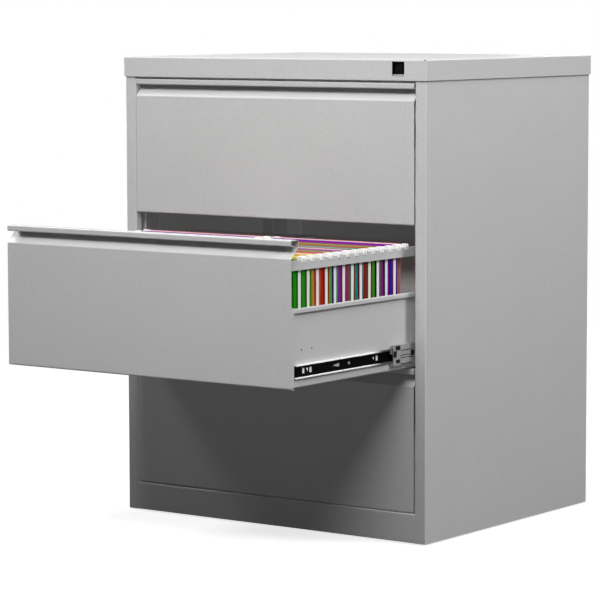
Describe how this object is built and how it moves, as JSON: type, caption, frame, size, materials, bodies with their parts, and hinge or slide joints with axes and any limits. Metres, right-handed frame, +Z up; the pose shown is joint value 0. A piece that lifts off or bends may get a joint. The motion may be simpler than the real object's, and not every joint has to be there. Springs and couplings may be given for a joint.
{
  "type": "filing cabinet",
  "caption": "Light grey steel filing cabinet with lockable full-width drawers on ball slides, the middle drawer open on rows of coloured suspension files.",
  "frame": {"origin": "on the floor, under the middle of the whole object as stored, with the middle drawer standing out 433 mm", "axes": "+X to the right seen from the front, +Y from the front to the back, +Z up"},
  "size_m": [0.806, 1.098, 1.016],
  "materials": {
    "grey_paint": "light grey powder coat on folded steel sheet",
    "zinc_steel": "zinc plated steel",
    "black_slide": "black plated slide member",
    "bright_steel": "bright turned steel",
    "black_plastic": "moulded black plastic",
    "file_card": "coloured card and paper"
  },
  "bodies": {
    "cabinet": {"left_side_panel": "grey_paint", "right_side_panel": "grey_paint", "back_panel": "grey_paint", "top_cap": "grey_paint", "header_rail": "grey_paint", "plinth_rail": "grey_paint", "base_pan": "grey_paint", "left_front_upright": "zinc_steel", "left_rear_upright": "zinc_steel", "right_front_upright": "zinc_steel", "right_rear_upright": "zinc_steel", "left_front_foot": "black_plastic", "left_rear_foot": "black_plastic", "right_front_foot": "black_plastic", "right_rear_foot": "black_plastic", "lock_housing": "black_plastic", "bottom_left_slide_outer": "zinc_steel", "bottom_right_slide_outer": "zinc_steel", "middle_left_slide_outer": "zinc_steel", "middle_right_slide_outer": "zinc_steel", "top_left_slide_outer": "zinc_steel", "top_right_slide_outer": "zinc_steel"},
    "lock": {"lock_plug": "bright_steel", "lock_rod": "bright_steel"},
    "locking_bar": {"lock_bar": "zinc_steel"},
    "bottom_drawer": {"bottom_drawer_front": "grey_paint", "bottom_drawer_front_liner": "grey_paint", "bottom_drawer_tray": "grey_paint", "bottom_drawer_back": "grey_paint", "bottom_drawer_centre_rail": "grey_paint", "bottom_drawer_left_rail": "grey_paint", "bottom_drawer_right_rail": "grey_paint", "bottom_left_slide_inner": "black_slide", "bottom_right_slide_inner": "black_slide"},
    "bottom_left_ball_slide": {"bottom_left_slide_balls": "zinc_steel"},
    "bottom_right_ball_slide": {"bottom_right_slide_balls": "zinc_steel"},
    "middle_drawer": {"middle_drawer_front": "grey_paint", "middle_drawer_front_liner": "grey_paint", "middle_drawer_tray": "grey_paint", "middle_drawer_back": "grey_paint", "middle_drawer_centre_rail": "grey_paint", "middle_drawer_left_rail": "grey_paint", "middle_drawer_right_rail": "grey_paint", "middle_left_slide_inner": "black_slide", "middle_right_slide_inner": "black_slide", "left_file_row": "file_card", "right_file_row": "file_card"},
    "middle_left_ball_slide": {"middle_left_slide_balls": "zinc_steel"},
    "middle_right_ball_slide": {"middle_right_slide_balls": "zinc_steel"},
    "top_drawer": {"top_drawer_front": "grey_paint", "top_drawer_front_liner": "grey_paint", "top_drawer_tray": "grey_paint", "top_drawer_back": "grey_paint", "top_drawer_centre_rail": "grey_paint", "top_drawer_left_rail": "grey_paint", "top_drawer_right_rail": "grey_paint", "top_left_slide_inner": "black_slide", "top_right_slide_inner": "black_slide"},
    "top_left_ball_slide": {"top_left_slide_balls": "zinc_steel"},
    "top_right_ball_slide": {"top_right_slide_balls": "zinc_steel"}
  },
  "joints": [
    {"name": "lock_turn", "type": "hinge", "parent": "cabinet", "child": "lock", "pos_m": [0.332, -0.116, 0.99875], "axis": [0, 1, 0], "range_deg": [0, 90]},
    {"name": "locking_bar_drop", "type": "slide", "parent": "cabinet", "child": "locking_bar", "axis": [0, 0, -1], "range_m": [0, 0.0141]},
    {"name": "bottom_drawer_slide", "type": "slide", "parent": "cabinet", "child": "bottom_drawer", "axis": [0, -1, 0], "range_m": [0, 0.56]},
    {"name": "bottom_left_ball_travel", "type": "slide", "parent": "cabinet", "child": "bottom_left_ball_slide", "axis": [0, -1, 0], "range_m": [0, 0.1191]},
    {"name": "bottom_right_ball_travel", "type": "slide", "parent": "cabinet", "child": "bottom_right_ball_slide", "axis": [0, -1, 0], "range_m": [0, 0.1191]},
    {"name": "middle_drawer_slide", "type": "slide", "parent": "cabinet", "child": "middle_drawer", "axis": [0, -1, 0], "range_m": [-0.433, 0.127]},
    {"name": "middle_left_ball_travel", "type": "slide", "parent": "cabinet", "child": "middle_left_ball_slide", "axis": [0, -1, 0], "range_m": [-0.0921, 0.0271]},
    {"name": "middle_right_ball_travel", "type": "slide", "parent": "cabinet", "child": "middle_right_ball_slide", "axis": [0, -1, 0], "range_m": [-0.0921, 0.0271]},
    {"name": "top_drawer_slide", "type": "slide", "parent": "cabinet", "child": "top_drawer", "axis": [0, -1, 0], "range_m": [0, 0.56]},
    {"name": "top_left_ball_travel", "type": "slide", "parent": "cabinet", "child": "top_left_ball_slide", "axis": [0, -1, 0], "range_m": [0, 0.1191]},
    {"name": "top_right_ball_travel", "type": "slide", "parent": "cabinet", "child": "top_right_ball_slide", "axis": [0, -1, 0], "range_m": [0, 0.1191]}
  ],
  "couplings": [
    {"joint": "lock_turn", "follows": "locking_bar_drop", "rad_per_m": 111.07},
    {"joint": "bottom_left_ball_travel", "follows": "bottom_drawer_slide", "ratio": 0.2125},
    {"joint": "bottom_right_ball_travel", "follows": "bottom_drawer_slide", "ratio": 0.2125},
    {"joint": "middle_left_ball_travel", "follows": "middle_drawer_slide", "ratio": 0.2125},
    {"joint": "middle_right_ball_travel", "follows": "middle_drawer_slide", "ratio": 0.2125},
    {"joint": "top_left_ball_travel", "follows": "top_drawer_slide", "ratio": 0.2125},
    {"joint": "top_right_ball_travel", "follows": "top_drawer_slide", "ratio": 0.2125}
  ]
}
